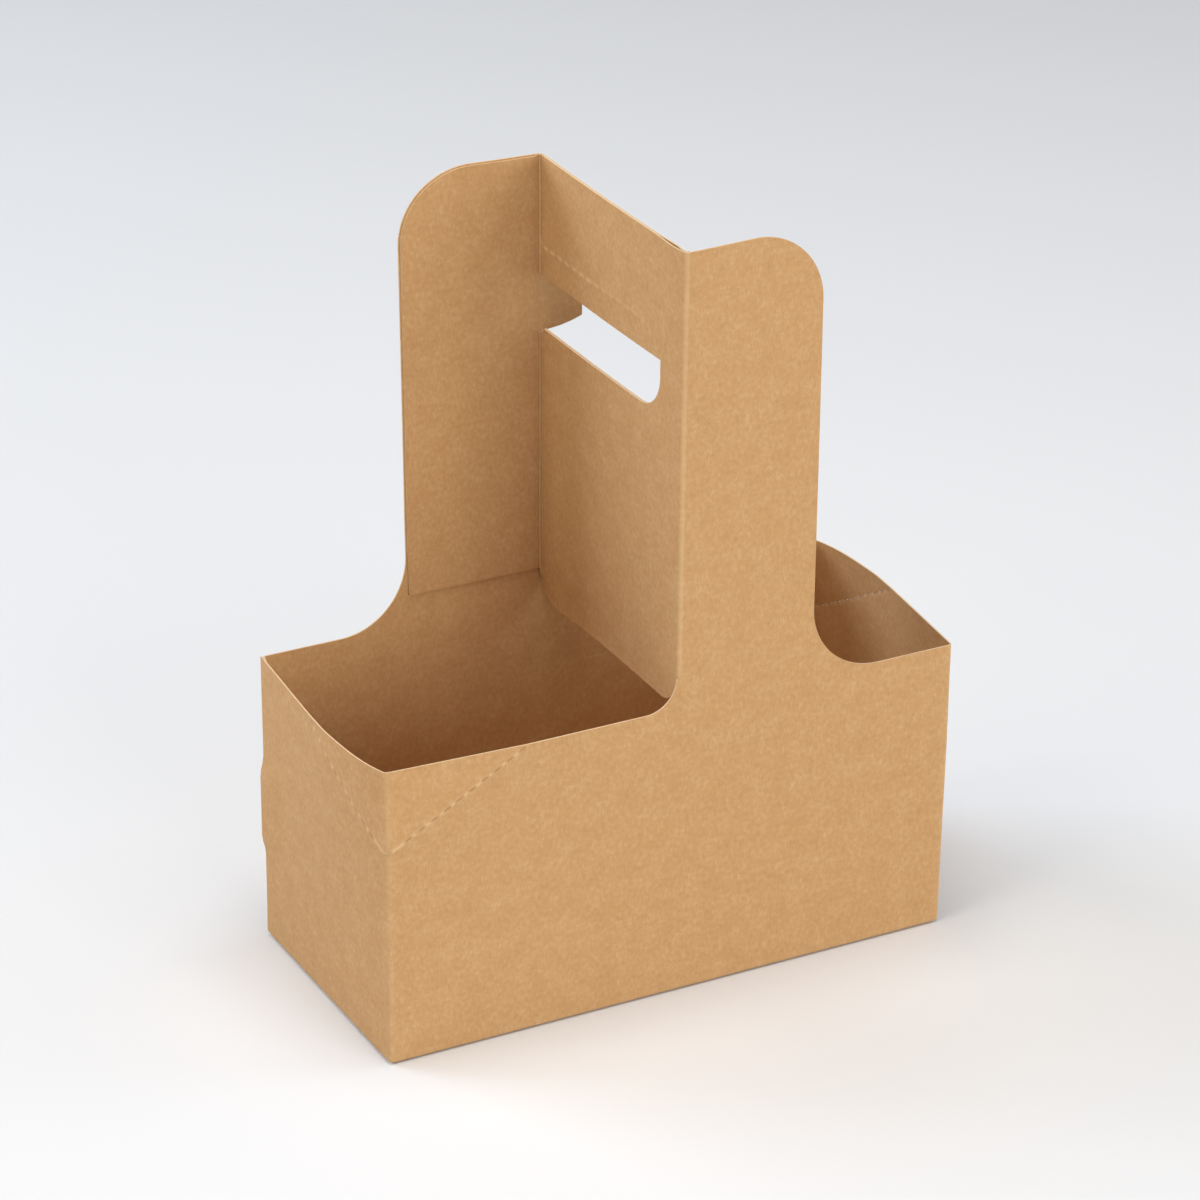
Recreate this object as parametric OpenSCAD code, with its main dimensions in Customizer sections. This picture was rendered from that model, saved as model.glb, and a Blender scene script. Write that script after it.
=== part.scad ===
// Two-cup carrier, folded and glued from one die-cut sheet of kraft board.
// Origin: middle of the base, on its underside. +X runs along the box, -Y is the front, +Z is up.
// The front and back halves of the sheet are the same shape, turned half a turn about Z.

/* [Box] */
// Outside length of the box
body_l = 181; // [150:1:240]
// Outside depth of the box
body_d = 83; // [70:1:110]
// Height of the box walls, from the underside to the rim
body_h = 92.5; // [60:0.5:120]

/* [Board] */
// Thickness of the board
board_t = 0.5; // [0.3:0.05:0.8]
// Outside radius of a single fold
fold_r = 1.2; // [1:0.1:2]

/* [Towers] */
// Height from the underside to the top edge of the towers and the divider
total_h = 231; // [200:1:280]
// Width of a tower, from the divider's middle to its free edge
tower_w = 43.5; // [34:0.5:50]
// Radius of a tower's round top corner
tower_r = 22; // [5:0.5:30]
// Radius of the inside corner between a tower's free edge and the rim
shoulder_r = 22; // [5:0.5:26]
// Radius of the inside corner at the foot of a tower's fold
foot_r = 9.5; // [4:0.5:16]

/* [Hand hole] */
// Height of the grip, from the hole's upper edge to the top edge
grip_h = 36; // [26:0.5:50]
// Height of the hole
hole_h = 16.5; // [12:0.5:30]
// Board between the hole's round end and the front tower's fold
hole_end = 12; // [8:0.5:25]
// Radius of the hole's round lower corner
hole_r = 11; // [3:0.5:12]
// How far the tab stands out past the divider, in line with the back tower
tab_w = 13; // [5:0.5:25]
// Radius of the tab's curved lower edge
tab_r = 36; // [20:1:60]
// Gap that the cut leaves above and below the tab
tab_gap = 0.4; // [0.2:0.05:0.8]
// Rise of the perforated arc over the hole's upper edge
arc_h = 8.5; // [5:0.5:18]
// Length of the arc's curved end
arc_l = 14; // [6:1:50]

/* [Corner creases] */
// How far below the rim a corner crease meets the corner's fold
crease_drop = 24; // [12:0.5:40]
// Where a corner crease meets the rim of the long wall, from the corner
crease_side = 43.5; // [20:0.5:60]
// Where a corner crease meets the rim of the end wall, from the corner
crease_end = 43.5; // [15:0.5:50]
// Bare board from the corner's fold to the first slit of a crease
crease_bare = 4; // [1:0.5:8]
// Distance from one slit of a perforation to the next
slit_pitch = 4.5; // [4:0.25:8]
// Length of a slit
slit_l = 2; // [1:0.25:3.5]
// Width of a slit
slit_w = 0.3; // [0.2:0.05:0.5]

/* [Seam and base] */
// Width of the glue flap inside the left end wall
glue_w = 14; // [8:0.5:20]
// How far the glue flap's ends slope in
glue_slope = 5; // [2:0.5:10]
// Length of the inner base flaps, from the end wall
end_flap_l = 58; // [30:1:70]
// How far an inner base flap narrows at each side
end_flap_taper = 14; // [4:1:25]
// How far each outer base flap reaches past the middle
hook_reach = 11; // [4:0.5:20]
// Length of the sloping edge where the two outer base flaps hook together
hook_run = 26; // [10:1:50]
// Gap between the outer base flaps
seam_gap = 0.4; // [0.3:0.05:0.8]

/* [Hidden] */
$fn = 96;
kraft = "#C9A070";

half_l = body_l / 2;
half_d = body_d / 2;
// Outside radius of a fold that wraps round another fold
nest_r = fold_r + board_t;
// The outer layer of the divider has its face at x = -board_t, so the flat part of a tower starts here
tower_x = nest_r - board_t;
// Top of the rounded foot of a tower's fold
foot_z = body_h + foot_r;
hole_top = total_h - grip_h;
hole_z = hole_top - hole_h;
hole_front = hole_end - half_d;

// A drawing in x and z, stood up one board thick with its front face at face_y
module stand_xz(face_y) {
    translate([0, face_y + board_t, 0])
        rotate([90, 0, 0])
            linear_extrude(board_t) children();
}

// A drawing in y and z, stood up from face_x towards +X
module stand_yz(face_x, thick = board_t) {
    translate([face_x, 0, 0])
        rotate([90, 0, 90])
            linear_extrude(thick) children();
}

// Rectangle from one corner to the opposite corner
module area(from, to) {
    translate(from) square(to - from);
}

// What is left of a square corner outside a quarter circle about the origin
module spandrel(r) {
    difference() {
        square(r);
        circle(r);
    }
}

// One board's thickness bent through a quarter turn in the corner towards -x and -y
module fold_arc(r_out) {
    difference() {
        intersection() {
            circle(r_out);
            translate([-r_out, -r_out]) square(r_out);
        }
        circle(r_out - board_t);
    }
}

// Slits along a straight line of a drawing, counted from its end, with bare board left at its start
module slit_row(from, to, bare = 0) {
    run = norm(to - from);
    count = round((run - bare) / slit_pitch);
    for (i = [0:count - 1])
        translate(to + (from - to) * (1 - bare / run) * (i + 0.5) / count)
            rotate(atan2(to[1] - from[1], to[0] - from[0]))
                square([slit_l, slit_w], center = true);
}

// Slits along the arc over the hand hole: a quarter ellipse from the hole's upper corner, then a straight run
module slit_arc() {
    count = max(1, round(PI / 4 * (arc_l + arc_h) / slit_pitch));
    crown_y = hole_front + arc_l;
    for (i = [1:count]) {
        turn = 90 * (i - 0.5) / count;
        translate([crown_y - arc_l * cos(turn), hole_top + arc_h * sin(turn)])
            rotate(atan2(arc_h * cos(turn), arc_l * sin(turn)))
                square([slit_l, slit_w], center = true);
    }
    slit_row([crown_y, hole_top + arc_h], [half_d - nest_r, hole_top + arc_h]);
}

// Flat part of a tower from height z up, with its round top corner
module tower_outline(z) {
    area([tower_x, z], [tower_w - tower_r, total_h]);
    area([tower_x, z], [tower_w, total_h - tower_r]);
    translate([tower_w - tower_r, total_h - tower_r]) circle(tower_r);
}

// Long wall as far as x_to and its tower in one, with the inside corners at the tower's feet and a corner crease
module wall_outline(x_to) {
    difference() {
        union() {
            area([fold_r - half_l, nest_r], [x_to, body_h]);
            area([-board_t, nest_r], [tower_w, foot_z]);
            tower_outline(foot_z);
            translate([tower_w + shoulder_r, body_h + shoulder_r]) rotate(180) spandrel(shoulder_r);
            translate([-board_t - foot_r, foot_z]) rotate(-90) spandrel(foot_r);
        }
        slit_row([fold_r - half_l, body_h - crease_drop], [crease_side - half_l, body_h], crease_bare);
    }
}

// One layer of the divider, with its lower corners rounded up to the feet of the folds
module divider_outline() {
    difference() {
        area([nest_r - half_d, body_h], [half_d - nest_r, total_h]);
        translate([foot_r - half_d, foot_z]) rotate(180) spandrel(foot_r);
        translate([half_d - foot_r, foot_z]) rotate(-90) spandrel(foot_r);
    }
}

// Half of the tower sheet: tower, fold, divider layer, fold and the lap glued inside the other tower
module tower_half() {
    translate([tower_x, nest_r - half_d, foot_z])
        linear_extrude(total_h - foot_z) fold_arc(nest_r);
    stand_yz(-board_t) divider_outline();
    translate([-tower_x, half_d - nest_r, foot_z])
        linear_extrude(total_h - foot_z) rotate(180) fold_arc(fold_r);
    rotate(180) stand_xz(board_t - half_d) tower_outline(foot_z);
}

// End wall as far as y_to, with its corner crease and its fold to the long wall
module end_wall(y_to) {
    stand_yz(-half_l) difference() {
        area([fold_r - half_d, nest_r], [y_to, body_h]);
        slit_row([fold_r - half_d, body_h - crease_drop], [crease_end - half_d, body_h], crease_bare);
    }
    translate([fold_r - half_l, fold_r - half_d, nest_r])
        linear_extrude(body_h - nest_r) fold_arc(fold_r);
}

// Glue flap: the back wall goes on round the left corner and lies inside the end wall
module glue_flap() {
    translate([board_t + fold_r - half_l, half_d - fold_r, nest_r])
        linear_extrude(body_h - nest_r) rotate(-90) fold_arc(fold_r);
    stand_yz(board_t - half_l)
        polygon([
            [half_d - fold_r, nest_r],
            [half_d - fold_r, body_h],
            [half_d - glue_w, body_h - glue_slope],
            [half_d - glue_w, nest_r + glue_slope],
        ]);
}

// Front and back base flaps, hooked together along a line that crosses the middle on a slope
module outer_base() {
    slope_l = norm([hook_run, 2 * hook_reach]);
    difference() {
        translate([fold_r - half_l, nest_r - half_d, 0])
            cube([body_l - 2 * fold_r, body_d - 2 * nest_r, board_t]);
        for (turn = [0, 180])
            rotate(turn)
                translate([-half_l, hook_reach - seam_gap / 2, -board_t])
                    cube([half_l - hook_run / 2 + seam_gap / 2, seam_gap, 3 * board_t]);
        rotate(-atan2(2 * hook_reach, hook_run))
            translate([-slope_l / 2, -seam_gap / 2, -board_t])
                cube([slope_l, seam_gap, 3 * board_t]);
    }
    for (turn = [0, 180])
        rotate(turn)
            translate([fold_r - half_l, nest_r - half_d, nest_r])
                rotate([90, 0, 90])
                    linear_extrude(body_l - 2 * fold_r) fold_arc(nest_r);
}

// Inner base flap of one end wall, glued on the outer flaps
module inner_base() {
    root_x = fold_r - half_l;
    root_y = half_d - nest_r;
    translate([0, 0, board_t])
        linear_extrude(board_t)
            polygon([
                [root_x, -root_y],
                [end_flap_l - half_l, end_flap_taper - root_y],
                [end_flap_l - half_l, root_y - end_flap_taper],
                [root_x, root_y],
            ]);
    translate([root_x, root_y, nest_r])
        rotate([90, 0, 0])
            linear_extrude(2 * root_y) fold_arc(fold_r);
}

// Opening for the hand, drawn in y and z: square at the back fold, round at its lower front corner
module hole_outline() {
    intersection() {
        area([hole_front, hole_z], [half_d, hole_top]);
        union() {
            area([hole_front + hole_r, hole_z], [half_d, hole_top]);
            area([hole_front, hole_z + hole_r], [half_d, hole_top]);
            translate([hole_front + hole_r, hole_z + hole_r]) circle(hole_r);
        }
    }
}

// Tab that the hole leaves on the back tower's lap, and the tower's own edge beside it
module hole_tab() {
    stand_xz(half_d - 2 * board_t) {
        area([-tower_x, hole_z], [0, hole_top]);
        intersection() {
            area([-tower_x, hole_z + tab_gap], [tab_w, hole_top - tab_gap]);
            translate([0, hole_z + tab_gap + tab_r]) circle(tab_r);
        }
    }
    stand_xz(half_d - board_t) area([-tower_x, hole_z], [0, hole_top]);
}

module carrier() {
    color(kraft) {
        difference() {
            union() {
                stand_xz(-half_d) wall_outline(half_l - fold_r);
                rotate(180) stand_xz(-half_d) wall_outline(half_l - board_t - fold_r);
                for (turn = [0, 180]) rotate(turn) tower_half();
            }
            stand_yz(-tower_x, tower_x + 2 * board_t) {
                hole_outline();
                slit_arc();
            }
        }
        hole_tab();
        end_wall(half_d);
        rotate(180) end_wall(half_d - fold_r);
        glue_flap();
        outer_base();
        for (turn = [0, 180]) rotate(turn) inner_base();
    }
}

carrier();
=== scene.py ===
import bpy
import numpy as np
from mathutils import Matrix, Vector
from mathutils.geometry import delaunay_2d_cdt


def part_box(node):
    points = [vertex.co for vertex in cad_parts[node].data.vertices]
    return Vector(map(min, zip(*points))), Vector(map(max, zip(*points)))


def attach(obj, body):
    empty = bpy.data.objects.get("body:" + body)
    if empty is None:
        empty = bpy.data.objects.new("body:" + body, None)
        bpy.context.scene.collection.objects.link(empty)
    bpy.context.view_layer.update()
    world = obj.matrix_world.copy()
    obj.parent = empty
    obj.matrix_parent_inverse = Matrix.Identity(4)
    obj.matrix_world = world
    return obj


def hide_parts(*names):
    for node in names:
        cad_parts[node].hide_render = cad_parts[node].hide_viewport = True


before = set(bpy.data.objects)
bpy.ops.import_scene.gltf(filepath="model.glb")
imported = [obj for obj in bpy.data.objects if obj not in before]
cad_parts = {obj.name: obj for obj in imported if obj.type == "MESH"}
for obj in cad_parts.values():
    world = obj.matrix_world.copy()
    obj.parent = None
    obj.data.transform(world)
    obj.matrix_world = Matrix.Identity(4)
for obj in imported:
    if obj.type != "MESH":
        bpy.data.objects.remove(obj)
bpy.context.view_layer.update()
mmPerMetre = 1000
lowCorner, highCorner = (np.array(corner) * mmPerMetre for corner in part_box("carrier"))
halfL, halfD, totalH = highCorner
print("frame:", len(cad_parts), "node in a box of", np.round(highCorner - lowCorner, 1), "mm")

board = {
    "thickness": 0.46,  # a hair under the layers' spacing, so that glued faces don't coincide
    "layer": 0.5,  # spacing of two glued layers
    "foldR": 1.2,  # outside radius of a single fold
}
walls = {
    "bodyH": 92.5,  # rim of the box
    "cornerV": 0.8,  # how high the sheet is cut at the bottom corners
    "glueW": 14.0,  # the back wall's flap, glued inside the left end wall
    "glueSlope": 5.0,
    "flapInset": 0.5,  # the base flaps are a little narrower than their walls
    "endFlapL": 58.0,
    "endFlapTaper": 14.0,
    "hookReach": 11.0,  # how far the front and back flaps reach past the middle
    "hookRun": 26.0,  # length of the slope where they hook together
    "seamGap": 0.1,  # they press together there
}
towers = {
    "width": 43.5,
    "cornerR": 22.0,
    "shoulderR": 22.0,
    "footR": 9.5,
    "footTurn": -0.8,  # the rounded foot starts a hair below the fold's end, so that they part there
    "lapInset": 0.45,  # the glued lap is cut a little smaller than its tower
    "lapRun": 1.0,  # its top slopes down over this length
}
handHole = {
    "top": 195.0,
    "low": 178.6,
    "nick": 1.5,  # the cut dips at the back fold, where the tab starts
    "nickRun": 1.4,
    "front": -29.6,  # y of the round end
    "endR": 11.0,
    "tabW": 13.0,
    "tabR": 36.0,
    "tabGap": 0.4,
    "edgeGap": 0.2,  # the cut parts the back tower's own edge from the folds above and below
}
perforation = {  # over the hand hole: a quarter ellipse at the front, then a straight run
    "rise": 8.7,
    "endL": 13.0,
    "endIn": 1.5,  # the ellipse ends this far inside the hole's front corner
    "endTurn": 8,  # and this many degrees short of its own foot
    "endPoints": 16,
    "runStart": 1.0,  # from the ellipse's crown
    "runEnd": 0.6,  # from the back fold
    "runPoints": 45,
}
slits = {"pitch": 4.45, "length": 1.8, "width": 0.08, "full": 0.7}  # full: share of the length at full width
creases = {"drop": 24.0, "side": 43.5, "end": 43.5, "bare": 4.0, "points": 48}  # bare: uncut at the corner

layer = board["layer"]
foldR = board["foldR"]
nestR = foldR + layer  # outside radius of a fold that wraps round another
bodyH = walls["bodyH"]
towerX = foldR  # where a tower's flat part starts
footZ = bodyH + towers["footR"]
creaseZ = bodyH - creases["drop"]
singleArc = (foldR - layer / 2) * np.pi / 2
nestArc = (nestR - layer / 2) * np.pi / 2


def runningSum(values):
    return np.concatenate([[0], np.cumsum(values)])


# Soft step: 3tt - 2ttt of the share t that is gone from start to end
def softStep(x, start, end):
    t = np.clip((x - start) / (end - start), 0, 1)
    return t * t * (3 - 2 * t)


# Bell: e to the power of minus the squared distance from the centre, in widths
def bump(x, centre, width):
    return np.exp(-(((x - centre) / width) ** 2))


# Plan path of straight runs and folds. The heading turns evenly along a fold, and the way gone on a run of
# length d is a chord of d * sinc(half the turn), pointing half the turn further on.
def walk(s, start, heading, runs):
    lengths, turns = np.array(runs).T
    turns = np.radians(turns)
    ends = runningSum(lengths)
    heads = np.radians(heading) + runningSum(turns)
    chords = lengths * np.sinc(turns / 2 / np.pi)
    startX = start[0] + runningSum(chords * np.cos(heads[:-1] + turns / 2))
    startY = start[1] + runningSum(chords * np.sin(heads[:-1] + turns / 2))
    i = np.clip(np.searchsorted(ends, s, side="right") - 1, 0, len(lengths) - 1)
    gone = s - ends[i]
    turn = turns[i] * gone / lengths[i]
    chord = gone * np.sinc(turn / 2 / np.pi)
    x = startX[i] + chord * np.cos(heads[i] + turn / 2)
    y = startY[i] + chord * np.sin(heads[i] + turn / 2)
    return x, y, heads[i] + turn


# The strip of walls, seen from above against the clock. A run is a length and the angle it turns through.
wallStart, wallHeading = (layer / 2 - halfL, halfD), 270
wallRuns = [
    (2 * halfD - foldR, 0),  # left end
    (singleArc, 90),
    (2 * halfL - 2 * foldR, 0),  # front
    (singleArc, 90),
    (2 * halfD - 2 * foldR, 0),  # right end
    (singleArc, 90),
    (2 * halfL - 2 * foldR - layer, 0),  # back
    (singleArc, 90),
    (walls["glueW"] - foldR, 0),  # glue flap
]
wallEnds = runningSum([run[0] for run in wallRuns])
frontS = wallEnds[2] + halfL - foldR  # where x = 0 lies on the front wall
backS = wallEnds[6] + halfL - foldR

# The strip of a tower: its fold, divider layer, the valley fold at the other side and the lap. u is minus the
# way gone from the tower.
towerStart, towerHeading = (towerX, layer / 2 - halfD), 180
lapL = towers["width"] - towerX - towers["lapInset"]
towerRuns = [(nestArc, -90), (2 * (halfD - nestR), 0), (singleArc, 90), (lapL, 0)]
towerEnds = runningSum([run[0] for run in towerRuns])
towerFoldMid = towerEnds[1] / 2
valleyMid = (towerEnds[2] + towerEnds[3]) / 2

use = {
    "skew": 1.4,  # the back tower stands a little further left than the front one
    "skewRise": (30.0, 130.0),  # heights between which that comes in
    "skewFade": (45.0, 88.0),  # distances from the middle between which it goes again
    "lean": 0.8,  # the whole box leans to the front at mid height
    "squeeze": 0.2,  # its back more so than its front
    "bulge": 4.5,  # how far an end wall stands out at its rim
    "bulgeCorner": 0.11,  # share of it left at the perforated corner
    "bulgeRise": 10.0,
    "bulgeKink": 33.0,  # the rim kinks where the crease meets it
    "fallLeft": 0.82,  # share lost from the kink to the plain corner
    "fallRight": 1.0,
    "bulgePower": 1.15,  # it grows with the height to this power
    "reachX": 14.0,  # how far a corner's shift spreads into the next wall
    "reachY": 16.0,
    "creaseSide": 0.113,  # slope of the corner past its crease, front and back
    "creaseEnd": 0.045,  # and at the ends
    "creaseSoft": 0.8,  # how round the crease is
    "splay": 3.7,  # the back tower's free edge bends back
    "splayPower": 1.3,
    "seamBump": 1.1,  # the end wall stands out where the glue flap starts
    "seamZ": (31.0, 57.0),
    "seamSoft": 3.0,
    "seamReach": (6.0, 8.0),
    "bowLow": 1.0,  # the divider bows to the right at its foot and to the left at the hole
    "bowTop": -0.6,
    "bowTopZ": 186.0,
    "bowRise": (81.0, 96.0),
    "bowWithin": 3.6,  # only board this near to x = 0 takes part
    "tilt": (-0.5, -1.5),  # the front fold leans out at its top
    "tiltFrom": 150.0,
    "tiltPast": 40.0,  # it would go on to this far above the top
    "tiltReach": 22.0,
    "layerGap": {1: 0.5, -1: 0.35},  # the front and back strips part at the divider's top, near the front
    "gapY": -36.0,
    "gapReach": 6.5,
    "gapFrom": 196.0,
    "gapSoft": 4.0,  # the gap comes in this far from the folds
}


# Distance d past a crease that rises from the corner to the rim over its run, none before it. The crease is
# rounded: half of d plus the root of dd + soft soft.
def pastCrease(above, out, run):
    d = (above * run - np.maximum(out, 0) * creases["drop"]) / np.hypot(run, creases["drop"])
    return 0.5 * (d + np.sqrt(d * d + use["creaseSoft"] ** 2))


# One perforated corner, drawn for the front left. The end wall stands out as a quick rise from the corner and
# a straight fall past the kink. Past its crease each wall turns in by its distance from it times a slope.
def cornerShift(x, y, z, fall):
    fromEnd, fromSide = x + halfL, y + halfD
    up = np.clip(z / bodyH, 0, 1) ** use["bulgePower"]
    rise = 1 - (1 - use["bulgeCorner"]) * np.exp(-np.abs(fromSide) / use["bulgeRise"])
    pastKink = np.clip((fromSide - use["bulgeKink"]) / (2 * halfD - use["bulgeKink"]), 0, 1)
    arch = use["bulge"] * rise * (1 - fall * pastKink)
    above = np.minimum(z, bodyH) - creaseZ
    turnX = use["creaseEnd"] * pastCrease(above, fromSide, creases["end"])
    turnY = use["creaseSide"] * pastCrease(above, fromEnd, creases["side"])
    return (turnX - arch * up) * bump(fromEnd, 0, use["reachX"]), turnY * bump(fromSide, 0, use["reachY"])


# How the folded sheet sits in use: lean, bulged ends, turned-in corners, splayed back tower, bump at the
# seam, bowed divider and tilted front fold. Each is a size times soft steps, bells and shares of x, y and z.
def settle(x, y, z):
    leftX, frontY = cornerShift(x, y, z, use["fallLeft"])
    rightX, backY = cornerShift(-x, -y, z, use["fallRight"])
    toBack = (y + halfD) / (2 * halfD)
    skew = toBack * softStep(z, *use["skewRise"]) * (1 - softStep(np.abs(x), *use["skewFade"]))
    lean = (use["lean"] + use["squeeze"] * y / halfD) * np.sin(np.pi * np.clip(z / totalH, 0, 1))
    splay = np.clip(-x / towers["width"], 0, 1) ** use["splayPower"] * (y > halfD / 2)
    splay = splay * np.clip((z - bodyH) / (totalH - bodyH), 0, 1)
    low, high = use["seamZ"]
    soft = use["seamSoft"]
    seam = softStep(z, low - soft, low + soft) * (1 - softStep(z, high - soft, high + soft))
    seam = seam * bump(x, -halfL, use["seamReach"][0]) * bump(y, halfD, use["seamReach"][1])
    bow = np.interp(z, [bodyH, use["bowTopZ"]], [use["bowLow"], use["bowTop"]])
    bow = bow * np.clip(np.cos(np.pi * y / 2 / halfD), 0, 1)
    bow = bow * softStep(z, *use["bowRise"]) * (np.abs(x) < use["bowWithin"])
    tiltZ = use["tiltFrom"], totalH + use["tiltPast"]
    tilt = softStep(z, *tiltZ) / softStep(totalH, *tiltZ)
    tilt = tilt * np.clip(1 - toBack, 0, 1) ** 2 * bump(x, 0, use["tiltReach"])
    moveX = leftX - rightX - use["skew"] * skew - use["seamBump"] * seam + bow + use["tilt"][0] * tilt
    moveY = frontY - backY - lean + use["splay"] * splay + use["tilt"][1] * tilt
    return np.stack([x + moveX, y + moveY, z], axis=-1)


# A wall point folds under at the base: straight above the fold, a quarter turn, then flat. The front and back
# flaps turn on the wider radius, because they lie under the end flaps.
def wallSurface(s, v):
    x, y, heading = walk(s, wallStart, wallHeading, wallRuns)
    tight, wide = foldR - layer / 2, nestR - layer / 2
    radius = np.interp(s, wallEnds[1:7], [tight, wide, wide, tight, tight, wide])
    under = np.maximum(nestR - v, 0)
    turn = np.minimum(under / radius, np.pi / 2)
    inward = radius * (1 - np.cos(turn)) + np.maximum(under - radius * np.pi / 2, 0)
    z = np.where(under > 0, nestR - radius * np.sin(turn), v)
    return settle(x - np.sin(heading) * inward, y + np.cos(heading) * inward, z)


# A strip point goes along the strip's plan path at its own height. The back strip (side -1) is the front one
# turned half a turn, and each stands off the other where the layers part.
def stripSurface(side):
    def surface(u, v):
        x, y = walk(-u, towerStart, towerHeading, towerRuns)[:2]
        part = bump(y, side * use["gapY"], use["gapReach"]) * softStep(v, use["gapFrom"], totalH)
        for fromFold in (-u - towerEnds[1], u + towerEnds[2]):
            part = part * softStep(fromFold, 0, use["gapSoft"])
        x = x - use["layerGap"][side] * part
        return settle(side * x, side * y, v)

    return surface


# The tab stays flat in line with the back tower's inner layer.
def tabSurface(x, v):
    return settle(x, np.full_like(x, halfD - 1.5 * layer), v)


cutting = {
    "pitch": 2.2,  # grid of the flat sheet
    "tabPitch": 1.5,
    "arcPitch": 1.0,
    "foldSteps": 10,  # grid steps across a fold
    "cutClear": 0.12,  # grid points keep this far from cuts
    "lineClear": 1.5,  # and this far from a perforation, which has rows of points of its own
    "lineRows": (-1.1, -0.55, 0, 0.55, 1.1),
    "rowClear": 0.3,  # those keep this far from cuts
    "level": 1e-6,  # an edge that rises less is level, and one that runs less is upright
    "endShare": 1e-4,  # no point is added nearer to an edge's end than this share of it
    "merge": 1e-5,  # points that lie nearer are one
    "portion": 500,  # points that are compared with all edges at a time
}


# Even steps, none longer than the pitch
def steps(start, end, pitch):
    return np.linspace(start, end, max(2, int(np.ceil(abs(end - start) / pitch)) + 1))


# Grid lines between the ends of runs, closer together on the runs that turn
def gridLines(ends, turns):
    parts = []
    for a, b, turn in zip(ends[:-1], ends[1:], turns):
        parts.append(steps(a, b, (b - a) / cutting["foldSteps"] if turn else cutting["pitch"]))
    return np.unique(np.round(np.concatenate(parts), 6))


def arc(centre, radius, start, end):
    turn = np.radians(steps(start, end, np.degrees(cutting["arcPitch"] / radius)))
    return np.stack([centre[0] + radius * np.cos(turn), centre[1] + radius * np.sin(turn)], axis=1)


# Outline edges get the grid's columns where they are level, its rows where they are upright, and even steps
# where they slope, so that outline and grid share their points.
def densify(loop, columns, rows):
    parts = []
    for a, b in zip(loop, np.roll(loop, -1, axis=0)):
        run = b - a
        if abs(run[1]) < cutting["level"]:
            share = (columns - a[0]) / run[0]
        elif abs(run[0]) < cutting["level"]:
            share = (rows - a[1]) / run[1]
        else:
            share = steps(0, 1, cutting["pitch"] / np.hypot(*run))
        share = np.sort(share[(share > cutting["endShare"]) & (share < 1 - cutting["endShare"])])
        parts.append(a + np.outer(np.concatenate([[0], share]), run))
    return np.concatenate(parts)


# Starts and ends of the edges of closed loops
def loopEdges(loops):
    return np.concatenate(loops), np.concatenate([np.roll(loop, -1, axis=0) for loop in loops])


def portions(points):
    return np.array_split(np.arange(len(points)), len(points) // cutting["portion"] + 1)


# Even-odd rule: a point is inside if a ray from it crosses the loops an odd number of times.
def inside(points, loops):
    a, b = loopEdges(loops)
    slope = (b[:, 0] - a[:, 0]) / np.where(a[:, 1] == b[:, 1], 1, b[:, 1] - a[:, 1])
    found = np.zeros(len(points), bool)
    for part in portions(points):
        px, py = points[part, 0:1], points[part, 1:2]
        spans = (a[:, 1] > py) != (b[:, 1] > py)
        found[part] = (spans & (px < a[:, 0] + (py - a[:, 1]) * slope)).sum(1) % 2 == 1
    return found


# Whether each point lies further than a gap from the nearest place on every edge
def farFrom(points, a, b, gap):
    run = b - a
    size = (run**2).sum(1)
    clear = np.zeros(len(points), bool)
    for part in portions(points):
        away = points[part, None] - a
        along = np.clip((away * run).sum(2) / size, 0, 1)
        away = away - along[..., None] * run
        clear[part] = (away**2).sum(2).min(1) > gap**2
    return clear


# A line moved sideways: each point goes off along the normal of the line there.
def offsetLine(line, off):
    run = np.gradient(line, axis=0)
    run = run / np.hypot(*run.T)[:, None]
    return line + off * np.stack([-run[:, 1], run[:, 0]], axis=1)


# A die-cut panel: the loops are cut lines, the grid fills them, and the triangles outside are dropped.
def cutSheet(loops, columns, rows, lines=()):
    a, b = loopEdges(loops)
    grid = np.stack(np.meshgrid(columns, rows), axis=-1).reshape(-1, 2)
    grid = grid[inside(grid, loops)]
    grid = grid[farFrom(grid, a, b, cutting["cutClear"])]
    for line in lines:
        grid = grid[farFrom(grid, line[:-1], line[1:], cutting["lineClear"])]
        beside = np.concatenate([offsetLine(line, off) for off in cutting["lineRows"]])
        beside = beside[inside(beside, loops)]
        grid = np.concatenate([grid, beside[farFrom(beside, a, b, cutting["rowClear"])]])
    ids = np.split(np.arange(len(a)), runningSum([len(loop) for loop in loops])[1:-1])
    edges = np.stack(loopEdges(ids), axis=1).tolist()
    points = [Vector(p) for p in np.concatenate([a, grid])]
    made = delaunay_2d_cdt(points, edges, [], 0, cutting["merge"], False)
    flat = np.array([tuple(p) for p in made[0]])
    tris = np.array(made[2])
    tris = tris[inside(flat[tris].mean(1), loops)]
    p, q, r = (flat[tris[:, k]] for k in range(3))
    turned = np.cross(q - p, r - p) < 0
    tris[turned] = tris[turned][:, ::-1]
    used, tris = np.unique(tris, return_inverse=True)
    return flat[used], tris.reshape(-1, 3)


# A slit is a thin hexagon on its line.
def slitLoop(centre, direction):
    full = slits["full"]
    shape = np.array([(-1, 0), (-full, -1), (full, -1), (1, 0), (full, 1), (-full, 1)])
    shape = shape * (slits["length"] / 2, slits["width"] / 2)
    along = np.array(direction) / np.hypot(*direction)
    return centre + shape @ np.array([along, (-along[1], along[0])])


# Slits of a crease, counted from the rim
def slitRow(start, end):
    start, end = np.array(start), np.array(end)
    length = np.hypot(*(end - start))
    count = round((length - creases["bare"]) / slits["pitch"])
    share = (1 - creases["bare"] / length) / count
    return [slitLoop(end + (start - end) * share * (i + 0.5), end - start) for i in range(count)]


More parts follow.
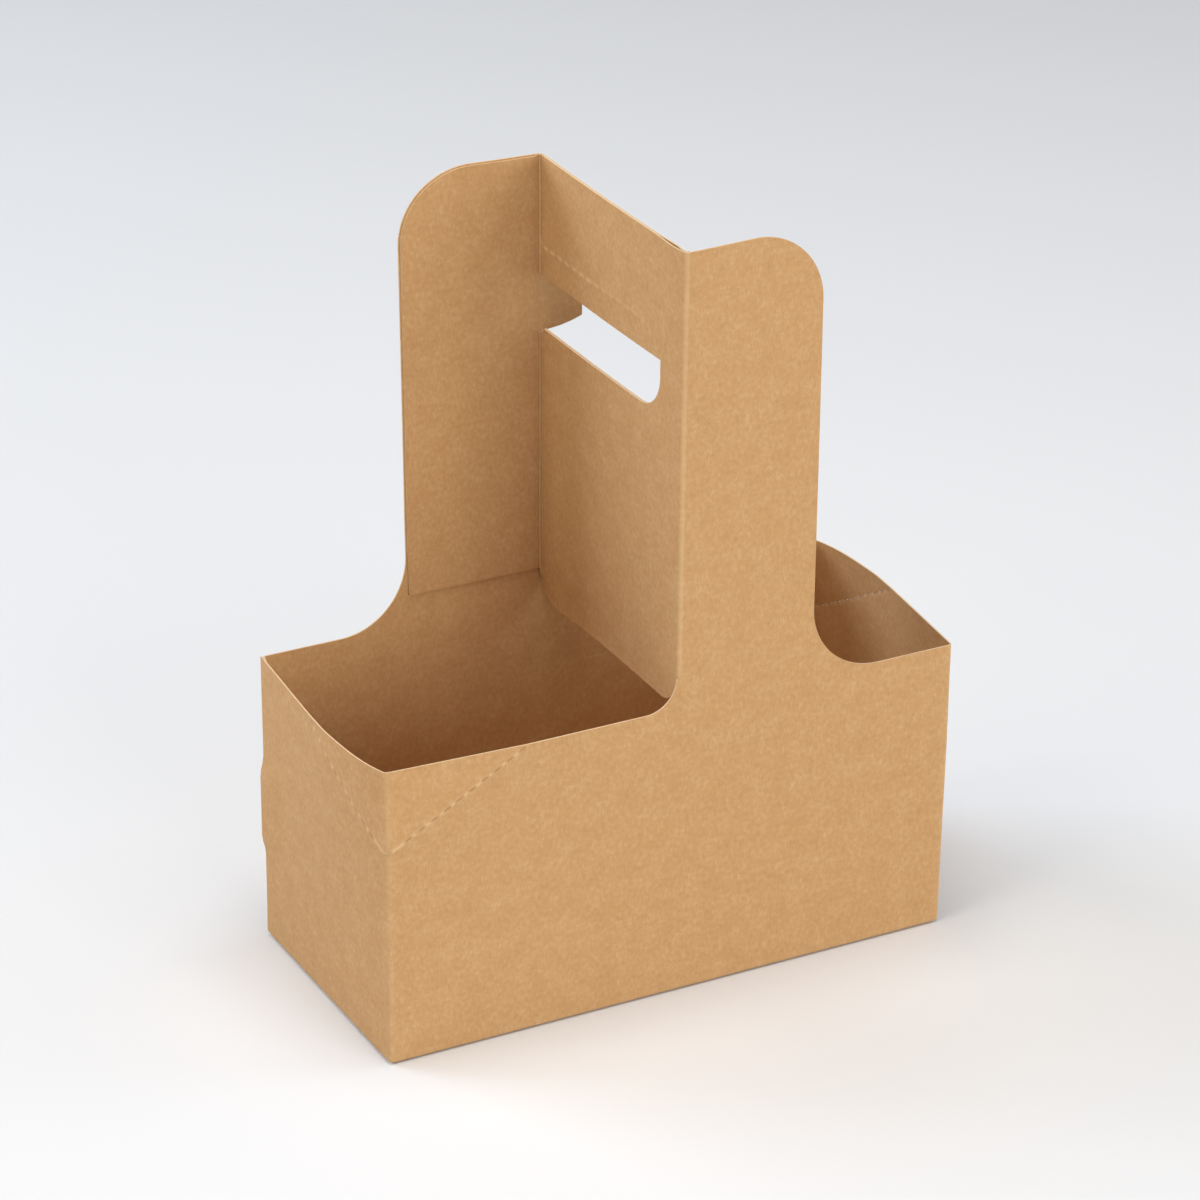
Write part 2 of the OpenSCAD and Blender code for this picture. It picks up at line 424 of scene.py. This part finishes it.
flapFoldEnd = nestR - nestArc
endFlapRoot = nestR - singleArc
endFlapV = endFlapRoot - (walls["endFlapL"] - foldR)
columns = gridLines(wallEnds, [run[1] for run in wallRuns])
rows = gridLines([endFlapV, flapFoldEnd, nestR, bodyH, footZ, totalH], [0, 90, 0, 0, 0])


# Outline of a long wall's top with its tower, from right to left: shoulder, round corner, fold, rounded foot.
# The back tower's fold has a notch, where the hand hole leaves its own edge standing.
def towerOutline(zeroS, notch):
    width, cornerR, shoulderR, footR = (towers[k] for k in ("width", "cornerR", "shoulderR", "footR"))
    fold = [(towerX, totalH), (towerX, footZ)]
    if notch:
        top, low, gap = handHole["top"], handHole["low"] - handHole["nick"], handHole["edgeGap"]
        fold[1:1] = [(towerX, top), (0, top - gap), (0, low + gap), (towerX, low)]
    outline = np.concatenate(
        [
            arc((width + shoulderR, bodyH + shoulderR), shoulderR, 270, 180),
            arc((width - cornerR, totalH - cornerR), cornerR, 0, 90),
            fold,
            arc((-layer - footR, footZ), footR, towers["footTurn"], -90),
        ]
    )
    return outline + (zeroS, 0)


# A base flap of an end wall: it narrows from its root to its end.
def endFlap(start, end):
    cornerV, taper = walls["cornerV"], walls["endFlapTaper"]
    left, right = start + walls["flapInset"], end - walls["flapInset"]
    return [
        (left, cornerV), (left, endFlapRoot), (left + taper, endFlapV),
        (right - taper, endFlapV), (right, endFlapRoot), (right, cornerV),
    ]


# A front or back flap, hooked with the other one along a line that crosses the middle on a slope
def hookFlap(zeroS, start, end):
    reach, run, gap = walls["hookReach"], walls["hookRun"], walls["seamGap"] / 2
    left, right = start + walls["flapInset"], end - walls["flapInset"]
    back = gap / np.sin(np.arctan2(2 * reach, run))
    deep, shallow = reach - gap, -reach - gap
    deepS, shallowS = (zeroS - run * y / 2 / reach - back for y in (deep, shallow))
    deepV, shallowV = (flapFoldEnd - (y + halfD - nestR) for y in (deep, shallow))
    return [
        (left, walls["cornerV"]), (left, deepV), (deepS, deepV),
        (shallowS, shallowV), (right, shallowV), (right, walls["cornerV"]),
    ]


glueFlap = [
    (wallEnds[8], nestR),
    (wallEnds[9], nestR + walls["glueSlope"]),
    (wallEnds[9], bodyH - walls["glueSlope"]),
    (wallEnds[8], bodyH),
]
wallLoop = np.concatenate(
    [
        [(0, bodyH), (0, walls["cornerV"])],
        endFlap(foldR + layer, wallEnds[1]),
        hookFlap(frontS, wallEnds[2], wallEnds[3]),
        endFlap(wallEnds[4], wallEnds[5]),
        hookFlap(backS, wallEnds[6], wallEnds[7]),
        glueFlap,
        towerOutline(backS, True),
        towerOutline(frontS, False),
    ]
)
# The corner creases: one pair at the fold of the front left corner, one at the back right
creaseLines = []
for endS, sideS in (wallEnds[1:3], wallEnds[5:7]):
    creaseLines.append(((sideS, creaseZ), (sideS + creases["side"] - foldR, bodyH)))
    creaseLines.append(((endS, creaseZ), (endS - creases["end"] + foldR, bodyH)))
wallSlits = [loop for line in creaseLines for loop in slitRow(*line)]
wallLines = [np.linspace(*line, creases["points"]) for line in creaseLines]
wallLoops = [densify(wallLoop, columns, rows), *wallSlits]
wallFlat, wallTris = cutSheet(wallLoops, columns, rows, wallLines)
print("walls:", len(wallFlat), "points,", len(wallTris), "triangles")


# Outline of a tower's strip from the lap to the fold: both lower corners of the divider are rounded.
def stripOutline():
    footR, inset = towers["footR"], towers["lapInset"]
    lapR = towers["cornerR"] - inset
    lapStart, lapEnd = -towerEnds[3], -towerEnds[4]
    return np.concatenate(
        [
            [(lapEnd, footZ)],
            arc((footR - valleyMid, footZ), footR, 180, 270),
            arc((-footR - towerFoldMid, footZ), footR, 270, 360),
            [(0, footZ), (0, totalH), (lapStart, totalH)],
            [(lapStart - towers["lapRun"], totalH - inset)],
            arc((lapEnd + lapR, totalH - inset - lapR), lapR, 90, 180),
        ]
    )


# From y and z on the divider to u and v on a strip
def toStrip(points, side):
    points = np.array(points)
    return np.stack([-(towerEnds[1] + halfD - nestR + side * points[:, 0]), points[:, 1]], axis=1)


# The hand hole: round at its lower front corner, and open as far as the back fold's end. That is the valley
# fold of the front strip and the tower's own fold of the back strip.
def holeOutline(side):
    top, low, front, endR = (handHole[k] for k in ("top", "low", "front", "endR"))
    nickY, nickZ = halfD - nestR, low - handHole["nick"]
    hole = np.concatenate(
        [
            [(nickY, nickZ), (nickY - handHole["nickRun"], low)],
            arc((front + endR, low + endR), endR, 270, 180),
            [(front, top)],
        ]
    )
    foldEnd = -towerEnds[3] if side > 0 else 0
    return np.concatenate([[(foldEnd, top), (foldEnd, nickZ)], toStrip(hole, side)])


# The perforation over the hole, in y and z on the divider
def perforationLine():
    crownY = handHole["front"] + perforation["endIn"] + perforation["endL"]
    crownZ = handHole["top"] + perforation["rise"]
    turn = np.radians(np.linspace(perforation["endTurn"], 90, perforation["endPoints"]))
    curveY = crownY - perforation["endL"] * np.cos(turn)
    curveZ = handHole["top"] + perforation["rise"] * np.sin(turn)
    start, end = crownY + perforation["runStart"], halfD - nestR - perforation["runEnd"]
    straight = np.linspace((start, crownZ), (end, crownZ), perforation["runPoints"])
    return np.concatenate([np.stack([curveY, curveZ], axis=1), straight])


# Slits along the perforation, at even steps of its length
def perforationSlits(line):
    gone = runningSum(np.hypot(*np.diff(line, axis=0).T))
    count = round(gone[-1] / slits["pitch"])
    loops = []
    for at in (np.arange(count) + 0.5) * gone[-1] / count:
        ends = [[np.interp(at + d, gone, line[:, k]) for k in (0, 1)] for d in (-0.5, 0.5)]
        loops.append(slitLoop(np.mean(ends, axis=0), np.subtract(ends[1], ends[0])))
    return loops


stripColumns = np.unique(-gridLines(towerEnds, [run[1] for run in towerRuns]))
dividerLine = perforationLine()
strips = []
for name, side, zeroS in (("front", 1, frontS), ("back", -1, backS)):
    loops = [densify(loop, stripColumns, rows) for loop in (stripOutline(), holeOutline(side))]
    loops += [toStrip(loop, side) for loop in perforationSlits(dividerLine)]
    line = toStrip(dividerLine, side)
    flat, tris = cutSheet(loops, stripColumns, rows, [line])
    strips.append((flat, tris, line, side, zeroS + towerX))
    print("strip:", name, len(flat), "points")

rootLow = handHole["low"] - handHole["nick"]
tabLow, tabTop = rootLow + handHole["edgeGap"], handHole["top"] - handHole["tabGap"]
tabSweep = np.degrees(np.arcsin(handHole["tabW"] / handHole["tabR"]))
tabLoop = np.concatenate(
    [
        [(-towerX, rootLow)],
        arc((0, tabLow + handHole["tabR"]), handHole["tabR"], 270, 270 + tabSweep),
        [(handHole["tabW"], tabTop), (0, tabTop), (-towerX, handHole["top"])],
    ]
)
tabColumns = steps(-towerX, handHole["tabW"], cutting["tabPitch"])
tabFlat, tabTris = cutSheet([densify(tabLoop, tabColumns, rows)], tabColumns, rows)
print("tab:", len(tabFlat), "points")

relief = {
    "ridge": 0.14,  # the board stands up along a perforation
    "ridgeWidth": 0.55,
    "ridgeShare": (0.4, 0.6),  # of a crease's ridge: all along, and on the bridges alone
    "bead": 0.42,  # the crease's bead inside the divider's valley folds
    "beadWidth": 0.26,
    "beadTop": 0.35,  # share of the bead left above the hand hole
    "beadTopZ": 194.0,
    "lineStep": 3,  # every third point of a perforation is near enough
    "wave": 0.07,  # slow unevenness of the board
    "waveL": 37.0,
    "waveLow": (2.0, 20.0),  # heights between which it comes in
    "waveHigh": 70.0,  # and from which it goes again
    "waveStart": (16.0, 26.0),  # the same along the strip of walls
    "waveEnd": 10.0,
}
# Paleness along folds, creases and perforations: partly worn, stretched fibres, partly a painted highlight
paleWearAndHighlight = {  # how pale the board gets, and how wide
    "corner": (0.35, 0.7),
    "base": (0.3, 1.0),
    "crease": (1.1, 0.45),
    "towerFold": (0.65, 0.7),
    "towerFoldAt": 0.7,  # the palest line is on the tower's side of the fold's middle
    "valley": (0.5, 0.25),
    "perforation": 0.35,  # at its front end
    "perforationBack": 0.95,  # more of it towards the back, between these shares of its length
    "perforationFrom": (0.4, 0.65),
    "perforationWidth": 0.5,
}
# Painted shade: how dark the slits and the grooves beside a bead are made
crevices = {
    "slit": 0.6,
    "slitLimit": 0.3,  # a slit is where the whole line less its bridges is more than this
    "groove": 0.8,
    "grooveOff": 0.55,  # from the bead's middle
    "grooveWidth": 0.16,
}


# Distance of points from a line of points, and how far along it their nearest place is
def lineDistance(points, line):
    best, place, gone = np.full(len(points), np.inf), np.zeros(len(points)), 0.0
    for a, b in zip(line[:-1], line[1:]):
        run = b - a
        along = np.clip((points - a) @ run / (run @ run), 0, 1)
        gap = np.hypot(*(points - a - along[:, None] * run).T)
        place = np.where(gap < best, gone + along * np.hypot(*run), place)
        best = np.minimum(best, gap)
        gone += np.hypot(*run)
    return best, place, gone


# A perforation line as two bells across it: one times a cosine that is 1 on the bridges between its slits and
# 0 at the slits, and the whole line. The line starts with its bare end.
def bridges(points, line, width, bare=0):
    gap, place, length = lineDistance(points, line)
    count = round((length - bare) / slits["pitch"])
    phase = np.clip((length - place) / (length - bare), 0, 1) * count
    whole = bump(gap, 0, width)
    return whole * (0.5 + 0.5 * np.cos(2 * np.pi * phase)), whole


# The same for each corner crease
def creaseBridges(points, width):
    return [bridges(points, line[[0, -1]], width, creases["bare"]) for line in wallLines]


# Slow waves of the single walls, sines along and across them: none near the base, the rim, the glue flap and
# the end wall's edge on it
def waves(points):
    s, v = points.T
    u, w = points.T / relief["waveL"]
    free = softStep(v, *relief["waveLow"]) * (1 - softStep(v, relief["waveHigh"], bodyH))
    free = free * softStep(s, *relief["waveStart"])
    free = free * (1 - softStep(s, wallEnds[7] - relief["waveEnd"], wallEnds[7]))
    return relief["wave"] * free * (np.sin(2 * u + 3 * np.sin(w)) * np.sin(2.7 * w) + np.sin(5 * u - 2 * w))


# Height of the walls' board: its waves, and a ridge along each crease
def wallRelief(points):
    height = waves(points)
    along, onBridges = relief["ridgeShare"]
    for bridge, whole in creaseBridges(points, relief["ridgeWidth"]):
        height = height + relief["ridge"] * (along * whole + onBridges * bridge)
    return height


# The palest of the corner folds, the creases' bridges and the folds at the base: wear and a painted highlight
def wallWearAndHighlight(points):
    s, v = points.T
    share, width = paleWearAndHighlight["base"]
    wearAndHighlight = share * bump(v, nestR - nestArc / 2, width)
    share, width = paleWearAndHighlight["corner"]
    for k in (1, 3, 5, 7):
        wearAndHighlight = np.maximum(wearAndHighlight, share * bump(s, (wallEnds[k] + wallEnds[k + 1]) / 2, width))
    share, width = paleWearAndHighlight["crease"]
    for bridge, _ in creaseBridges(points, width):
        wearAndHighlight = np.maximum(wearAndHighlight, share * bridge)
    return wearAndHighlight


# Shade on the slits of the corner creases, whose cut sides get little light
def slitShade(points):
    shade = np.zeros(len(points))
    for bridge, whole in creaseBridges(points, slits["width"]):
        shade = np.maximum(shade, crevices["slit"] * (whole - bridge > crevices["slitLimit"]))
    return shade


# Share of the bead at a height: whole under the hand hole, less above it
def beadShare(v):
    return np.where(v > relief["beadTopZ"], relief["beadTop"], 1)


# Height of a strip's board: the bead along its valley fold, and a ridge along the perforation
def stripRelief(points, line):
    bead = relief["bead"] * beadShare(points[:, 1]) * bump(-points[:, 0], valleyMid, relief["beadWidth"])
    ridge = bridges(points, line[:: relief["lineStep"]], relief["ridgeWidth"])[1]
    return bead + relief["ridge"] * ridge


# The palest of the tower's fold, the bead and the perforation's slits: wear and a painted highlight
def stripWearAndHighlight(points, line):
    gone, v = -points[:, 0], points[:, 1]
    share, width = paleWearAndHighlight["towerFold"]
    towerFold = share * bump(gone, paleWearAndHighlight["towerFoldAt"] * towerFoldMid, width)
    share, width = paleWearAndHighlight["valley"]
    valley = share * beadShare(v) * bump(gone, valleyMid, width)
    bridge, whole = bridges(points, line[:: relief["lineStep"]], paleWearAndHighlight["perforationWidth"])
    toBack = lineDistance(points, line[[0, -1]])[1] / np.ptp(line[:, 0])
    share = paleWearAndHighlight["perforation"] + paleWearAndHighlight["perforationBack"] * softStep(toBack, *paleWearAndHighlight["perforationFrom"])
    return np.maximum(np.maximum(towerFold, valley), share * (whole - bridge))


# Painted shade in the grooves beside the bead of a valley fold
def grooveShade(points):
    off = np.abs(-points[:, 0] - valleyMid)
    return crevices["groove"] * bump(off, crevices["grooveOff"], crevices["grooveWidth"])


sheet = {"mid": [], "normal": [], "map": [], "wearAndHighlight": [], "shade": [], "tris": []}
normalStep = 0.02


# Folds a flat panel: normals come from small steps along both parameters of its surface.
def foldPanel(flat, tris, surface, height, wearAndHighlight, shade, shiftU):
    u, v = flat.T
    alongU = surface(u + normalStep, v) - surface(u - normalStep, v)
    alongV = surface(u, v + normalStep) - surface(u, v - normalStep)
    normal = np.cross(alongU, alongV)
    normal = normal / np.linalg.norm(normal, axis=1)[:, None]
    first = sum(len(part) for part in sheet["mid"])
    sheet["mid"].append(surface(u, v) + normal * height[:, None])
    sheet["normal"].append(normal)
    sheet["map"].append(flat + (shiftU, 0))
    sheet["wearAndHighlight"].append(wearAndHighlight)
    sheet["shade"].append(shade)
    sheet["tris"].append(tris + first)


looks = [make(wallFlat) for make in (wallRelief, wallWearAndHighlight, slitShade)]
foldPanel(wallFlat, wallTris, wallSurface, *looks, 0)
for flat, tris, line, side, shiftU in strips:
    looks = stripRelief(flat, line), stripWearAndHighlight(flat, line), grooveShade(flat)
    foldPanel(flat, tris, stripSurface(side), *looks, shiftU)
plain = np.zeros(len(tabFlat))
tabU = frontS + 2 * towerX - towerEnds[3]
foldPanel(tabFlat, tabTris, tabSurface, plain, plain, plain, tabU)
weldGap = 1e-3  # points nearer than this to a column are on it


# Makes the folded panels one surface: the points that two panels share on a column are joined by height.
def weldPanels():
    first = runningSum([len(part) for part in sheet["mid"]])
    *arrays, tris = (np.concatenate(sheet[k]) for k in ("mid", "normal", "map", "wearAndHighlight", "shade", "tris"))
    uv = arrays[2]

    def column(panel, u, low, high):
        ids = np.arange(first[panel], first[panel + 1])
        away = np.abs(uv[ids, 0] - u)
        ids = ids[(away < weldGap) & (uv[ids, 1] > low - weldGap) & (uv[ids, 1] < high + weldGap)]
        return ids[np.argsort(uv[ids, 1])]

    seams = [
        (0, 1, frontS + towerX, footZ, totalH),
        (0, 2, backS + towerX, footZ, totalH),
        (1, 3, frontS + towerX - towerEnds[3], rootLow, handHole["top"]),
    ]
    for keptPanel, panel, *ends in seams:
        keep, drop = column(keptPanel, *ends), column(panel, *ends)
        print("weld:", len(keep), "points, off by", np.abs(uv[keep, 1] - uv[drop, 1]).max())
        swap = np.arange(len(uv))
        swap[drop] = keep
        tris = swap[tris]
    used, tris = np.unique(tris, return_inverse=True)
    return [values[used] for values in arrays], tris.reshape(-1, 3)


# Gives the sheet its thickness: both faces, and a quad on every edge that has only one triangle.
def thicken(mid, normal, tris):
    count = len(mid)
    half = normal * board["thickness"] / 2
    edges = np.concatenate([tris[:, [0, 1]], tris[:, [1, 2]], tris[:, [2, 0]]])
    key = edges[:, 0] * count + edges[:, 1]
    border = edges[~np.isin(key, edges[:, 1] * count + edges[:, 0])]
    rim = np.stack([border[:, 1], border[:, 0], border[:, 0] + count, border[:, 1] + count], axis=1)
    points = np.concatenate([mid + half, mid - half])
    faces = np.concatenate([tris, tris[:, ::-1] + count])
    return points, faces, rim, border


# From sRGB to linear
def hexColour(text):
    value = np.array([int(text[k : k + 2], 16) for k in (1, 3, 5)]) / 255
    linear = np.where(value <= 0.04045, value / 12.92, ((value + 0.055) / 1.055) ** 2.4)
    return (*linear.tolist(), 1.0)


def addNode(tree, kind, inputs, **settings):
    node = tree.nodes.new(kind)
    for key, value in settings.items():
        setattr(node, key, value)
    for key, value in inputs.items():
        if isinstance(value, bpy.types.NodeSocket):
            tree.links.new(value, node.inputs[key])
        else:
            node.inputs[key].default_value = value
    return node


def newMaterial(name):
    material = bpy.data.materials.new(name)
    material.use_nodes = True
    material.node_tree.nodes.clear()
    return material, material.node_tree


kraft = {
    "tones": [(0.24, "#AE8152"), (0.5, "#C49866"), (0.76, "#D8B388")],  # dark, middle, light
    # Paler along folds, creases and beads: partly stretched, worn fibres, partly a painted highlight
    "paleWearAndHighlight": ("foldWearAndHighlight", 0.5, "#E8C99B"),  # the mesh's own attribute, its share and the colour it brings
    # Painted shade at the slits and in the grooves beside the valley folds' beads
    "slit": ("creviceShade", 0.55, "#7A5430"),
    "cloudsMm": ((7.0, 3.0), (1.5, 4.0)),  # size and detail of the pulp's clouds and flocks
    "cloudRoughness": 0.6,
    "fibreMm": (0.3, 3.2),  # width and length of a streak: coarser than real fibres, so that it shows
    "fibreDetail": 2.0,
    "fibreTurns": (0.0, 0.55, -0.7),  # from the machine's direction
    "weights": (0.22, 0.34, 0.24, 0.1, 0.1),  # of clouds, flocks and the three ways of the fibres
    "bumpMm": 0.3,  # about ten times the real relief, so that it shows
    "bumpStrength": 0.3,
    "roughness": 0.82,
    "specular": 0.25,
}
cutEdge = {"colour": "#D2B590", "roughness": 0.9, "specular": 0.2}


# Uncoated kraft board, unbleached: matt, cloudy brown with fine streaks along the machine's direction and a
# few paler fibres across it. It is paler along folds, creases and beads, where fibres are stretched and a
# painted highlight stands in for the light on them, and darker at slits and grooves with painted shade.
def kraftBoard():
    material, tree = newMaterial("kraft_board_uncoated")
    blank = addNode(tree, "ShaderNodeUVMap", {}, uv_map="blank").outputs[0]
    textures = []
    for size, detail in kraft["cloudsMm"]:
        inputs = {"Scale": mmPerMetre / size, "Detail": detail, "Roughness": kraft["cloudRoughness"]}
        textures.append(addNode(tree, "ShaderNodeTexNoise", {"Vector": blank, **inputs}).outputs[0])
    stretch = (*(mmPerMetre / size for size in kraft["fibreMm"]), 1)
    for angle in kraft["fibreTurns"]:
        turned = addNode(tree, "ShaderNodeMapping", {"Vector": blank, "Rotation": (0, 0, angle)}).outputs[0]
        stretched = addNode(tree, "ShaderNodeMapping", {"Vector": turned, "Scale": stretch}).outputs[0]
        inputs = {"Vector": stretched, "Scale": 1.0, "Detail": kraft["fibreDetail"]}
        textures.append(addNode(tree, "ShaderNodeTexNoise", inputs).outputs[0])
    tone = 0.0
    for texture, weight in zip(textures, kraft["weights"]):
        inputs = {0: texture, 1: weight, 2: tone}
        tone = addNode(tree, "ShaderNodeMath", inputs, operation="MULTIPLY_ADD").outputs[0]
    ramp = addNode(tree, "ShaderNodeValToRGB", {0: tone})
    stops = ramp.color_ramp.elements
    dark, middle, light = kraft["tones"]
    for stop, (place, tint) in zip(stops, (dark, light)):
        stop.position = place
        stop.color = hexColour(tint)
    stops.new(middle[0]).color = hexColour(middle[1])
    colour = ramp.outputs[0]
    for name, share, tint in (kraft["paleWearAndHighlight"], kraft["slit"]):
        mask = addNode(tree, "ShaderNodeAttribute", {}, attribute_name=name).outputs["Fac"]
        settings = {"operation": "MULTIPLY", "use_clamp": True}
        amount = addNode(tree, "ShaderNodeMath", {0: mask, 1: share}, **settings).outputs[0]
        inputs = {0: amount, 6: colour, 7: hexColour(tint)}
        colour = addNode(tree, "ShaderNodeMix", inputs, data_type="RGBA").outputs[2]
    bumps = {"Height": tone, "Distance": kraft["bumpMm"] / mmPerMetre, "Strength": kraft["bumpStrength"]}
    inputs = {"Base Color": colour, "Normal": addNode(tree, "ShaderNodeBump", bumps).outputs[0]}
    inputs.update({"Roughness": kraft["roughness"], "Specular IOR Level": kraft["specular"]})
    shader = addNode(tree, "ShaderNodeBsdfPrincipled", inputs)
    addNode(tree, "ShaderNodeOutputMaterial", {"Surface": shader.outputs[0]})
    return material


# The die's cut through the board: raw pale pulp, a thin light line along every edge, darkened with painted
# shade at the slits.
def cutBoard():
    material, tree = newMaterial("kraft_board_cut_edge")
    name, _, tint = kraft["slit"]
    shade = addNode(tree, "ShaderNodeAttribute", {}, attribute_name=name).outputs["Fac"]
    mixing = {0: shade, 6: hexColour(cutEdge["colour"]), 7: hexColour(tint)}
    inputs = {"Base Color": addNode(tree, "ShaderNodeMix", mixing, data_type="RGBA").outputs[2]}
    inputs.update({"Roughness": cutEdge["roughness"], "Specular IOR Level": cutEdge["specular"]})
    shader = addNode(tree, "ShaderNodeBsdfPrincipled", inputs)
    addNode(tree, "ShaderNodeOutputMaterial", {"Surface": shader.outputs[0]})
    return material


# One mesh of the sheet's two faces and its cut edges, with the flat blank as its map. Cut edges are sharp.
def sheetObject(name, materials):
    (mid, normal, uv, wearAndHighlight, shade), tris = weldPanels()
    points, faces, rim, border = thicken(mid, normal, tris)
    loops = np.concatenate([faces.ravel(), rim.ravel()])
    starts = np.concatenate([np.arange(len(faces)) * 3, len(faces) * 3 + np.arange(len(rim)) * 4])
    mesh = bpy.data.meshes.new(name)
    mesh.vertices.add(len(points))
    mesh.vertices.foreach_set("co", (points / mmPerMetre).ravel())
    mesh.loops.add(len(loops))
    mesh.loops.foreach_set("vertex_index", loops)
    mesh.polygons.add(len(starts))
    mesh.polygons.foreach_set("loop_start", starts)
    mesh.polygons.foreach_set("material_index", np.repeat([0, 1], [len(faces), len(rim)]))
    mesh.update(calc_edges=True)
    both = np.concatenate([uv, uv]) / mmPerMetre
    mesh.uv_layers.new(name="blank").data.foreach_set("uv", both[loops].ravel())
    for (key, *_), values in ((kraft["paleWearAndHighlight"], wearAndHighlight), (kraft["slit"], shade)):
        mesh.attributes.new(key, "FLOAT", "POINT").data.foreach_set("value", np.concatenate([values, values]))
    ends = np.empty(len(mesh.edges) * 2, int)
    mesh.edges.foreach_get("vertices", ends)
    ends = np.sort(ends.reshape(-1, 2), axis=1)
    cut = np.sort(np.concatenate([border, border + len(mid)]), axis=1)
    sharp = np.isin(ends @ (len(points), 1), cut @ (len(points), 1))
    mesh.attributes.new("sharp_edge", "BOOLEAN", "EDGE").data.foreach_set("value", sharp)
    mesh.polygons.foreach_set("use_smooth", np.ones(len(starts), bool))
    mended = mesh.validate()
    print("sheet:", len(points), "points,", len(faces), "triangles,", len(rim), "edge quads, mended:", mended)
    piece = bpy.data.objects.new(name, mesh)
    bpy.context.collection.objects.link(piece)
    for material in materials:
        mesh.materials.append(material)
    return piece


carrierSheet = sheetObject("carrier_sheet", [kraftBoard(), cutBoard()])
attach(carrierSheet, "root")
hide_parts("carrier")

studio = {
    "floor": "#DDDDDD",
    "floorHalf": 4.0,
    "floorRoughness": 0.7,
    "floorSpecular": 0.2,
    "world": 0.04,
    "backdrop": "#D2D3D5",  # what the camera sees past the floor
    "aim": (0, 0, 0.1),
    "lights": [
        # place, size, power, colour
        ((0.2, -1.9, 0.55), 1.0, 13.5, "#FFFFFF"),
        ((0.9, -1.6, 0.6), 1.0, 9.5, "#FFFFFF"),
        ((-0.1, -0.1, 1.9), 1.2, 24.5, "#FFFFFF"),
        ((-1.2, 1.2, 0.9), 1.0, 22.5, "#DEECFF"),
        ((-1.3, -0.1, 1.4), 1.0, 10.5, "#FFF1DE"),
        ((1.3, -0.3, 1.2), 1.0, 6.0, "#EEF4FF"),
    ],
}
photoCamera = {
    "place": (-0.5955, -1.1101, 0.7262),
    "azimuth": -28.1,
    "elevation": 26.13,
    "roll": 0.66,
    "focalPixels": 4894.58,
    "framePixels": 1200,
    "sensorMm": 36,
    "clipEnd": 20,
}


# A level square of matt painted board, a plain pale ground
def floorSheet():
    half = studio["floorHalf"]
    corners = [(-half, -half, 0), (half, -half, 0), (half, half, 0), (-half, half, 0)]
    mesh = bpy.data.meshes.new("floor")
    mesh.from_pydata(corners, [], [(0, 1, 2, 3)])
    material, tree = newMaterial("painted_board_matt")
    inputs = {"Base Color": hexColour(studio["floor"])}
    inputs.update({"Roughness": studio["floorRoughness"], "Specular IOR Level": studio["floorSpecular"]})
    shader = addNode(tree, "ShaderNodeBsdfPrincipled", inputs)
    addNode(tree, "ShaderNodeOutputMaterial", {"Surface": shader.outputs[0]})
    mesh.materials.append(material)
    floor = bpy.data.objects.new("floor", mesh)
    bpy.context.collection.objects.link(floor)


# A dim white room with a backdrop that only the camera sees, and the softboxes
def lightStudio():
    scene = bpy.context.scene
    world = bpy.data.worlds.new("soft_room")
    world.use_nodes = True
    tree = world.node_tree
    tree.nodes.clear()
    white = hexColour("#FFFFFF")
    room = addNode(tree, "ShaderNodeBackground", {"Color": white, "Strength": studio["world"]}).outputs[0]
    seen = addNode(tree, "ShaderNodeBackground", {"Color": hexColour(studio["backdrop"])}).outputs[0]
    path = addNode(tree, "ShaderNodeLightPath", {}).outputs["Is Camera Ray"]
    mixed = addNode(tree, "ShaderNodeMixShader", {0: path, 1: room, 2: seen}).outputs[0]
    addNode(tree, "ShaderNodeOutputWorld", {"Surface": mixed})
    scene.world = world
    for place, size, power, colour in studio["lights"]:
        lamp = bpy.data.lights.new("softbox", "AREA")
        lamp.size = size
        lamp.energy = power
        lamp.color = hexColour(colour)[:3]
        softbox = bpy.data.objects.new("softbox", lamp)
        turn = (Vector(studio["aim"]) - Vector(place)).to_track_quat("-Z", "Y")
        softbox.matrix_world = Matrix.Translation(place) @ turn.to_matrix().to_4x4()
        bpy.context.collection.objects.link(softbox)
    scene.view_settings.view_transform = "Standard"


# The camera's axes from its bearing, height angle and roll
def addCamera():
    turn, lift, roll = (np.radians(photoCamera[k]) for k in ("azimuth", "elevation", "roll"))
    back = np.array([np.sin(turn) * np.cos(lift), -np.cos(turn) * np.cos(lift), np.sin(lift)])
    right = np.array([np.cos(turn), np.sin(turn), 0])
    up = np.cross(back, right)
    right, up = np.cos(roll) * right + np.sin(roll) * up, np.cos(roll) * up - np.sin(roll) * right
    lens = bpy.data.cameras.new("photo_camera")
    lens.sensor_width = photoCamera["sensorMm"]
    lens.lens = photoCamera["focalPixels"] / photoCamera["framePixels"] * photoCamera["sensorMm"]
    lens.clip_end = photoCamera["clipEnd"]
    lens.dof.use_dof = False
    camera = bpy.data.objects.new("photo_camera", lens)
    axes = Matrix(np.stack([right, up, back], axis=1).tolist()).to_4x4()
    camera.matrix_world = Matrix.Translation(photoCamera["place"]) @ axes
    bpy.context.collection.objects.link(camera)
    bpy.context.scene.camera = camera


floorSheet()
lightStudio()
addCamera()
print("stage: floor, lights and camera set")
